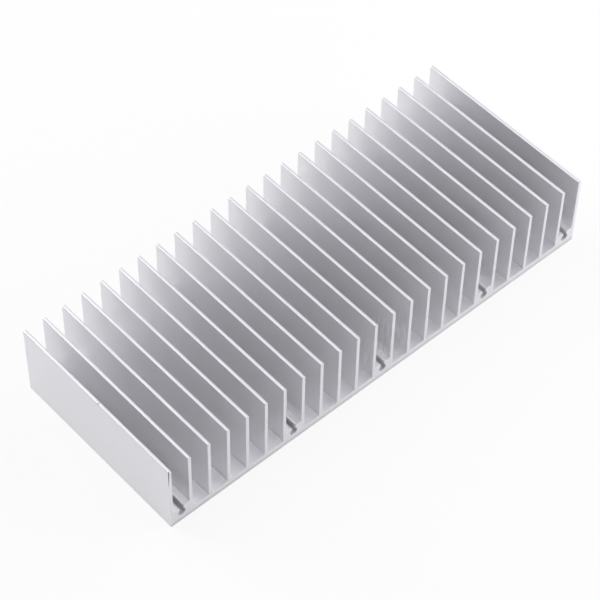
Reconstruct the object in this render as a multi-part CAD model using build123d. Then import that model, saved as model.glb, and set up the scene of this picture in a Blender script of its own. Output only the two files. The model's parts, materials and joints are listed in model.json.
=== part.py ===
from build123d import *
import math
import os

# Plate-fin heat sink: one length of an extruded aluminium section, sawn square at both ends.
# X runs across the fins, Y along the extrusion, and Z up from the mounting face at Z = 0.
# The origin is the middle of the mounting face. Sizes are in millimetres.

# The piece that is sawn from the extrusion
width = 150.0
height = 25.0
cut_length = 60.0

# Base plate, and the round along its two lower edges
base_thickness = 2.5
base_edge_radius = 0.3

# Fins, evenly spaced, the outer two flush with the ends of the base
fin_count = 24
fin_thickness = 1.0
fin_tip_radius = 0.3
fin_root_radius = 0.2

# Screw channels, for thread-forming screws driven in along the extrusion from either end.
# Each is a round groove with a narrow mouth, in metal that fills the foot of one gap.
channel_count = 5
groove_radius = 1.2
groove_rise = 0.05        # from the floor of the plain gaps up to the groove's lowest line
mouth_width = 1.3
lip_thickness = 0.9       # metal over the groove, from its highest line up to its flat top
lip_radius = 0.4

gap_count = fin_count - 1
fin_pitch = (width - fin_thickness) / gap_count
gap_width = fin_pitch - fin_thickness
groove_height = base_thickness + groove_rise + groove_radius
lip_height = groove_height + groove_radius + lip_thickness


def gap_centre(gap):
    """X of the middle of a gap. Gaps are numbered from 0 at the -X end."""
    return (gap - (gap_count - 1) / 2) * fin_pitch


def channel_gaps():
    """The gaps that hold a screw channel: the first, the last, and the rest spread evenly."""
    spread = (gap_count - 1) / (channel_count - 1)
    return [math.floor(channel * spread + 0.5) for channel in range(channel_count)]


def gap_above(floor):
    """Open space between two fins, from a floor up to the fin tips, with rounded roots."""
    depth = height - floor
    space = Pos(0, floor + depth / 2) * Rectangle(gap_width, depth)
    roots = space.vertices().group_by(Axis.Y)[0]
    return fillet(roots, fin_root_radius)


def channel_gap():
    """Open space of a gap that holds a screw channel: over it, its mouth and its groove."""
    mouth_depth = lip_height - groove_height
    mouth = Pos(0, groove_height + mouth_depth / 2) * Rectangle(mouth_width, mouth_depth)
    space = gap_above(lip_height) + mouth
    lips = space.vertices().filter_by_position(Axis.X, -mouth_width, mouth_width).sort_by(Axis.Y)[-2:]
    return fillet(lips, lip_radius) + Pos(0, groove_height) * Circle(groove_radius)


def extruded_section():
    """The whole section, with X across the fins and Y up from the mounting face."""
    plain_gap = gap_above(base_thickness)
    spaces = []
    for gap in range(gap_count):
        space = channel_gap() if gap in channel_gaps() else plain_gap
        spaces.append(Pos(gap_centre(gap), 0) * space)
    section = Pos(0, height / 2) * Rectangle(width, height) - spaces
    section = fillet(section.vertices().group_by(Axis.Y)[-1], fin_tip_radius)
    return fillet(section.vertices().group_by(Axis.Y)[0], base_edge_radius)


def sawn_length():
    """The section drawn out along Y, half to each side of the origin."""
    return extrude(Plane.XZ * extruded_section(), amount=cut_length / 2, both=True)


os.makedirs("parts", exist_ok=True)
export_step(sawn_length(), "parts/heat_sink.step")
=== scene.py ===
import json
import math

import bmesh
import bpy
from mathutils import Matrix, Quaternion, Vector


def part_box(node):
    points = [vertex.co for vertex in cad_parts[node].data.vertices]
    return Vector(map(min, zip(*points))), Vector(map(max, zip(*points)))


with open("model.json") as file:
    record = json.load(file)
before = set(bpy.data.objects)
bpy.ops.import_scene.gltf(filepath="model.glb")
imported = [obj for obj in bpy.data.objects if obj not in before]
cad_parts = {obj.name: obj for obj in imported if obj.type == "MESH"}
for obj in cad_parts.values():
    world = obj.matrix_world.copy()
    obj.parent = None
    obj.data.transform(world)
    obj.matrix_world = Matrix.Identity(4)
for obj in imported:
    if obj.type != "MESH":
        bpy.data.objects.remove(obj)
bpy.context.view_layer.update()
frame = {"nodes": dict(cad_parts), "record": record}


# The heat sink is one length of aluminium, pushed hot through a die, sawn to length and anodised
# clear. The die leaves fine lines along the fins and the saw leaves arcs across the two ends.
# Painted shade darkens its satin silver in patches on the fin tips, and to grey in the channels and
# along the foot.

class Wire:
    """An output of a node, ready for a Python sum. Each sum adds its own Math node."""

    def __init__(self, finish, socket):
        self.finish = finish
        self.socket = socket

    def of(self, name):
        """Another output of the same node."""
        return Wire(self.finish, self.socket.node.outputs[name])

    def sum(self, operation, first, second=0.0):
        return self.finish.node("ShaderNodeMath", {"operation": operation}, {0: first, 1: second})

    def __add__(self, other):
        return self.sum("ADD", self, other)

    def __sub__(self, other):
        return self.sum("SUBTRACT", self, other)

    def __rsub__(self, other):
        return self.sum("SUBTRACT", other, self)

    def __mul__(self, other):
        return self.sum("MULTIPLY", self, other)

    def __abs__(self):
        return self.sum("ABSOLUTE", self)

    __radd__ = __add__
    __rmul__ = __mul__


class Finish:
    """A node material, put together one node at a time."""

    def __init__(self, name):
        self.material = bpy.data.materials.new(name)
        self.material.use_nodes = True
        self.nodes = self.material.node_tree.nodes
        self.links = self.material.node_tree.links
        self.nodes.clear()

    def node(self, kind, settings=None, sockets=None):
        """Adds a node: its type, then its settings, then the values or wires of its sockets."""
        node = self.nodes.new(kind)
        for name, value in (settings or {}).items():
            setattr(node, name, value)
        for name, value in (sockets or {}).items():
            if isinstance(value, Wire):
                self.links.new(value.socket, node.inputs[name])
            else:
                node.inputs[name].default_value = value
        in_use = [socket for socket in node.outputs if socket.enabled]
        return Wire(self, in_use[0]) if in_use else None

    def ramp(self, value, low, high):
        """Goes smoothly from 0 where the value is low to 1 where it is high."""
        return self.node(
            "ShaderNodeMapRange",
            {"interpolation_type": "SMOOTHSTEP"},
            {"Value": value, "From Min": low, "From Max": high},
        )

    def scaled(self, place, factors):
        """A place with each of its coordinates multiplied by its own factor."""
        return self.node("ShaderNodeVectorMath", {"operation": "MULTIPLY"}, {0: place, 1: factors})

    def distance(self, place, point):
        """How far a place is from a fixed point, in metres."""
        return self.node("ShaderNodeVectorMath", {"operation": "DISTANCE"}, {0: place, 1: point})

    def stretched(self, place, lengths, detail):
        """Noise about 0, as long along each axis as the three lengths in metres say."""
        squeezed = self.scaled(place, tuple(1.0 / length for length in lengths))
        noise = self.node(
            "ShaderNodeTexNoise", {}, {"Vector": squeezed, "Scale": 1.0, "Detail": detail})
        return noise - 0.5

    def mixed(self, factor, first, second):
        """The first colour where the factor is 0, the second where it is 1."""
        return self.node(
            "ShaderNodeMix", {"data_type": "RGBA"}, {"Factor": factor, "A": first, "B": second})


lowest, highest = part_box("heat_sink")
outer_side = lowest.x
sawn_front = lowest.y
fin_top = highest.z

anodised = Finish("clear_anodised_aluminium")
place = anodised.node("ShaderNodeTexCoord").of("Object")
spot = anodised.node("ShaderNodeSeparateXYZ", {}, {"Vector": place})
facing = anodised.node("ShaderNodeSeparateXYZ", {}, {"Vector": place.of("Normal")})

# The same place brought to the middle of the length, for marks that are measured in the section.
section_place = anodised.scaled(place, (1, 0, 1))

# These are 1 on the two sawn ends, on the underside and on the fin tips, and 0 elsewhere.
slanted = 0.85
square_on = 0.95
sawn = anodised.ramp(abs(facing.of("Y")), slanted, square_on)
underside = anodised.ramp(-1.0 * facing.of("Z"), slanted, square_on)
tip = anodised.ramp(spot.of("Z"), fin_top - 0.0004, fin_top - 0.0001)

# Die lines run the whole length of the extrusion: hairlines, and broader drag marks.
hairlines = anodised.stretched(place, (0.00016, 0.03, 0.00016), detail=3.0)
drag_marks = anodised.stretched(place, (0.0011, 0.08, 0.0011), detail=2.0)
drawn = (1.0 - sawn) * (1.0 - 0.7 * tip)
die_marks = drawn * (0.8 * hairlines + 1.4 * drag_marks)

# The die chattered for a moment and left faint ribs up the fins beside the middle screw channel.
chatter_middle = (0.0027, -0.0275, 0.01)
chatter = 1.02 - anodised.ramp(anodised.distance(place, chatter_middle), 0.006, 0.013)
ribs = anodised.ramp(anodised.stretched(place, (0.0015, 0.0006, 0.007), detail=1.0), -0.1, 0.1) - 0.5
rib_marks = drawn * chatter * ribs

# Saw marks are arcs about the middle of the blade, which stood below the part.
blade_middle = (0.02, 0.0, -0.16)
arcs_per_metre = 2600.0
reach = anodised.distance(section_place, blade_middle)
saw_arcs = anodised.node(
    "ShaderNodeTexNoise",
    {"noise_dimensions": "1D"},
    {"W": arcs_per_metre * reach, "Scale": 1.0, "Detail": 3.0},
)
saw_marks = sawn * (saw_arcs - 0.5)

# The etch before anodising leaves a fine frosted grain, and handling leaves wide soft smears.
grain = anodised.stretched(place, (0.00022, 0.00035, 0.00022), detail=4.0)
smears = anodised.stretched(place, (0.018, 0.03, 0.009), detail=3.0)

# The fin tips are rougher in patches, and there painted shade also darkens their colour to dim their
# highlight.
tip_patches = anodised.ramp(anodised.stretched(place, (0.001, 0.006, 0.001), detail=3.0), -0.12, 0.2)
tip_shade_and_scuffs = tip * (0.4 + 0.6 * tip_patches)

# Painted shade makes the metal grey and rougher inside the screw channels, and near the bottom as a
# painted reflection of the table's contact shadow.
# The record's bores say where the channels are and how wide.
groove = 0.0
for mount in frame["record"]["mounts"]:
    if mount["kind"] == "bore":
        across, _, height = mount["pos_m"]
        radius = mount["dims"]["r_mm"] / 1000.0
        from_axis = anodised.distance(section_place, (across, 0.0, height))
        groove = groove + (1.0 - anodised.ramp(from_axis, radius + 0.00002, radius + 0.0002))
# The painted shade along the foot is full below the lower height and gone above the upper one, and on
# the sides it is half as strong as on the sawn ends.
full_shade_height = 0.0007
unshaded_height = 0.0016
near_table = 1.0 - anodised.ramp(spot.of("Z"), full_shade_height, unshaded_height)
foot = near_table * (0.5 + 0.5 * sawn)

# The saw broke a long thin chip out of the first fin's outer corner. It widens upwards. Its relief is
# real, and its dark colour is painted shade.
chip_foot = 0.017
chip_top = 0.0243
widest_chip = 0.00036
chip_width = widest_chip * anodised.ramp(spot.of("Z"), chip_foot, chip_top)
inwards = spot.of("X") - outer_side
backwards = spot.of("Y") - sawn_front
at_front = 1.0 - anodised.ramp(backwards, 0.00005, 0.00015)
chip = at_front * anodised.ramp(chip_width - inwards, 0.0, 0.00008)

# A knock left a small nick in the tip of the same fin, about halfway along. Its relief is real, and
# its dark colour is painted shade.
nick_middle = (outer_side + 0.00015, -0.0016, fin_top)
nick = 1.0 - anodised.ramp(anodised.distance(place, nick_middle), 0.0002, 0.0005)
breaks_and_shade = chip + 0.5 * nick

# The marks shift the silver between two close tones, and painted shade lowers the tone on the fin
# tips. Then painted shade darkens it to grey in the channels, along the foot and on the chip and nick.
deep_silver = (0.82, 0.8165, 0.8235, 1.0)
pale_silver = (0.942, 0.9385, 0.9455, 1.0)
shade_grey = (0.15, 0.149, 0.152, 1.0)
tone = (
    0.5 + 0.12 * smears + 0.22 * grain + (0.12 + 0.9 * underside) * die_marks + 0.9 * rib_marks
    + 0.2 * saw_marks - 0.9 * tip_shade_and_scuffs
)
painted_shade = 0.18 * groove + 0.18 * foot + 0.95 * breaks_and_shade
colour = anodised.mixed(painted_shade, anodised.mixed(tone, deep_silver, pale_silver), shade_grey)

satin_roughness = 0.38
roughness = (
    satin_roughness + 0.1 * smears + 0.12 * grain + 0.1 * die_marks + 0.12 * saw_marks
    + 0.05 * tip_shade_and_scuffs + 0.3 * groove + 0.1 * foot
)

relief_depth = 0.00003
relief = 0.55 * grain + die_marks + 4.0 * rib_marks + 0.8 * saw_marks - 2.0 * breaks_and_shade
bumpy = anodised.node(
    "ShaderNodeBump", {}, {"Strength": 0.25, "Distance": relief_depth, "Height": relief})
metal = anodised.node(
    "ShaderNodeBsdfPrincipled",
    {},
    {"Base Color": colour, "Metallic": 0.8, "Roughness": roughness, "Normal": bumpy},
)
anodised.node("ShaderNodeOutputMaterial", {}, {"Surface": metal})

heat_sink = frame["nodes"]["heat_sink"]
heat_sink.data.materials.clear()
heat_sink.data.materials.append(anodised.material)


# The table is a wide sheet of matt white card with its far edges turned up, so that a low view
# ends on white too. Most of its white glows for the camera and in the metal, so that it stays
# white up to the part and the shadow on it is only faint.

table_reach = 5.0
edge_rise = 1.2
card_white = (0.9, 0.9, 0.9, 1.0)
camera_glow = 0.88
metal_glow = 0.35

card = bmesh.new()
bmesh.ops.create_grid(card, x_segments=1, y_segments=1, size=table_reach)
turned_up = bmesh.ops.extrude_edge_only(card, edges=card.edges)["geom"]
upper_corners = [part for part in turned_up if isinstance(part, bmesh.types.BMVert)]
bmesh.ops.translate(card, verts=upper_corners, vec=(0.0, 0.0, edge_rise))
table_mesh = bpy.data.meshes.new("table")
card.to_mesh(table_mesh)
card.free()
table = bpy.data.objects.new("table", table_mesh)
bpy.context.scene.collection.objects.link(table)

white_card = Finish("matt_white_card")
card_in_light = white_card.node("ShaderNodeBsdfDiffuse", {}, {"Color": card_white})
white_glow = white_card.node("ShaderNodeEmission", {}, {"Strength": 1.0})
ray = white_card.node("ShaderNodeLightPath")
seen_in_metal = ray.of("Is Glossy Ray") + ray.of("Is Transmission Ray")
glow = camera_glow * ray.of("Is Camera Ray") + metal_glow * seen_in_metal
card_seen = white_card.node("ShaderNodeMixShader", {}, {0: glow, 1: card_in_light, 2: white_glow})
white_card.node("ShaderNodeOutputMaterial", {}, {"Surface": card_seen})
table_mesh.materials.append(white_card.material)


# The part stands in a white tent, lit through its walls by five round soft boxes that point at
# it: two near ones on the right, and three farther ones behind, one low and two high.

tent_tint = (0.95, 0.945, 1.0)
tent_strength = 0.23

tent = bpy.data.worlds.new("tent")
tent.use_nodes = True
walls = tent.node_tree.nodes["Background"]
walls.inputs["Color"].default_value = (*tent_tint, 1.0)
walls.inputs["Strength"].default_value = tent_strength
bpy.context.scene.world = tent


def direction(azimuth, elevation):
    """From the part towards a point that is seen at these angles, in degrees."""
    azimuth, elevation = math.radians(azimuth), math.radians(elevation)
    return Vector((
        math.sin(azimuth) * math.cos(elevation),
        -math.cos(azimuth) * math.cos(elevation),
        math.sin(elevation),
    ))


def soft_box(name, azimuth, elevation, distance, diameter, radiance):
    """Hangs a round lamp at that distance from the part, with a face of that radiance."""
    face_area = math.pi * diameter ** 2 / 4
    lamp = bpy.data.lights.new(name, "AREA")
    lamp.shape = "DISK"
    lamp.size = diameter
    lamp.color = tent_tint
    lamp.energy = math.pi * radiance * face_area
    towards = direction(azimuth, elevation)
    box = bpy.data.objects.new(name, lamp)
    box.location = towards * distance
    box.rotation_mode = "QUATERNION"
    box.rotation_quaternion = towards.to_track_quat("Z", "Y")
    bpy.context.scene.collection.objects.link(box)


soft_box("front_right", azimuth=40, elevation=20, distance=0.6, diameter=0.39, radiance=4.2)
soft_box("right", azimuth=80, elevation=35, distance=0.6, diameter=0.6, radiance=1.65)
soft_box("back_low", azimuth=200, elevation=20, distance=1.3, diameter=0.845, radiance=5.8)
soft_box("back_high", azimuth=200, elevation=50, distance=1.3, diameter=1.3, radiance=1.44)
soft_box("back_right_high", azimuth=155, elevation=55, distance=1.3, diameter=1.3, radiance=0.55)


# The camera stands in front and to the left, well above the fins. Its long lens keeps the far
# fins nearly as large as the near ones.

view_azimuth = -42.704
view_elevation = 51.236
view_roll = 1.279
view_distance = 0.63645
view_target = Vector((0.00081, 0.00464, 0.0))
focal_length = 135.58

lens = bpy.data.cameras.new("camera")
lens.sensor_width = 36.0
lens.lens = focal_length
camera = bpy.data.objects.new("camera", lens)
towards_camera = direction(view_azimuth, view_elevation)
roll = Quaternion((0, 0, 1), math.radians(view_roll))
camera.location = view_target + towards_camera * view_distance
camera.rotation_mode = "QUATERNION"
camera.rotation_quaternion = towards_camera.to_track_quat("Z", "Y") @ roll
bpy.context.scene.collection.objects.link(camera)
bpy.context.scene.camera = camera

# Light goes from fin to fin many times before it leaves a gap.
bpy.context.scene.cycles.max_bounces = 16
bpy.context.scene.cycles.glossy_bounces = 16
bpy.context.scene.view_settings.view_transform = "Standard"
